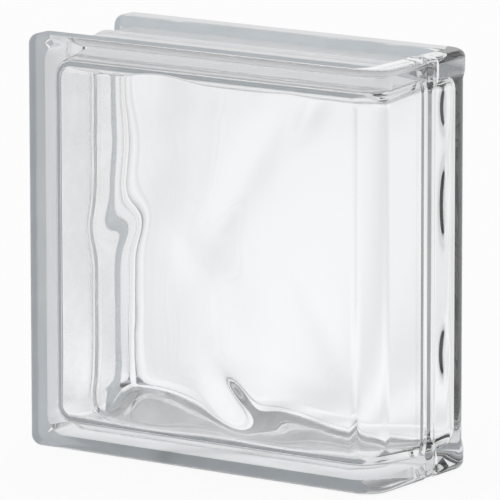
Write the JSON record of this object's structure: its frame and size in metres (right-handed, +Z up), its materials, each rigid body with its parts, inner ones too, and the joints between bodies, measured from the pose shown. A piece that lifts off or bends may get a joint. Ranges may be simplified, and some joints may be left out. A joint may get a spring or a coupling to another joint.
{
  "type": "glass block",
  "caption": "Square hollow glass block with waved inside faces, channelled mortar edges on its left, top and bottom, and one smooth rounded finished end.",
  "frame": {"origin": "middle of the bottom mortar edge, at the level of the lips that it stands on", "axes": "+Z up, +X towards the finished end, -Y out of the front face"},
  "size_m": [0.19, 0.08, 0.19],
  "materials": {
    "glass": "clear pressed glass, smooth outside, milky pale grey coating on the mortar edges"
  },
  "bodies": {
    "root": {"glass_block": "glass"}
  },
  "joints": []
}
